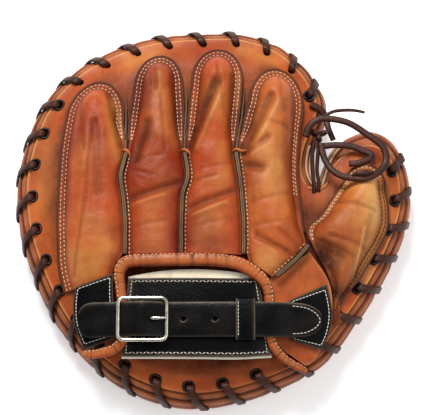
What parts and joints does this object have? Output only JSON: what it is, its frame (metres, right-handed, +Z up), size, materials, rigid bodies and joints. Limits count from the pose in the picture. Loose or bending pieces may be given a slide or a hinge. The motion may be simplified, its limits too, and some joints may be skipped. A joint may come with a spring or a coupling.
{
  "type": "catcher's mitt",
  "caption": "Round padded leather mitt lying palm down, with finger and thumb stalls on its back, a laced rim, a web notch and a buckled wrist strap.",
  "frame": {"origin": "on the surface that the mitt lies on, under the middle of its outline", "axes": "+X towards the thumb side, +Y towards the fingertips, +Z up out of the back of the hand"},
  "size_m": [0.2856, 0.28, 0.0587],
  "materials": {
    "tan_leather": "oiled, worn",
    "amber_leather": "oiled, worn",
    "russet_leather": "darkened, scuffed",
    "lace_leather": "waxed",
    "welt_leather": "raw edge",
    "black_leather": "polished",
    "cream_lining": "matt",
    "nickel": "worn plating"
  },
  "bodies": {
    "root": {"palm": "russet_leather", "back_panel": "amber_leather", "perimeter_lace": "lace_leather", "finger_little": "tan_leather", "finger_ring": "tan_leather", "finger_middle": "tan_leather", "finger_index": "tan_leather", "thumb_back": "tan_leather", "welt_little_ring": "welt_leather", "welt_ring_middle": "welt_leather", "welt_middle_index": "welt_leather", "welt_index_thumb": "welt_leather", "thumb_gusset": "amber_leather", "opening_binding": "tan_leather", "wrist_band": "black_leather", "wrist_band_lining": "cream_lining", "patch_left": "black_leather", "patch_right": "black_leather", "strap": "black_leather", "keeper_loop": "black_leather", "buckle_tab": "black_leather", "buckle_frame": "nickel", "buckle_prong": "nickel", "web_lace_side": "lace_leather", "web_lace_cross": "lace_leather", "web_lace_loop": "lace_leather", "web_lace_tail": "lace_leather", "web_lace_post": "lace_leather", "web_knot": "lace_leather"}
  },
  "joints": []
}
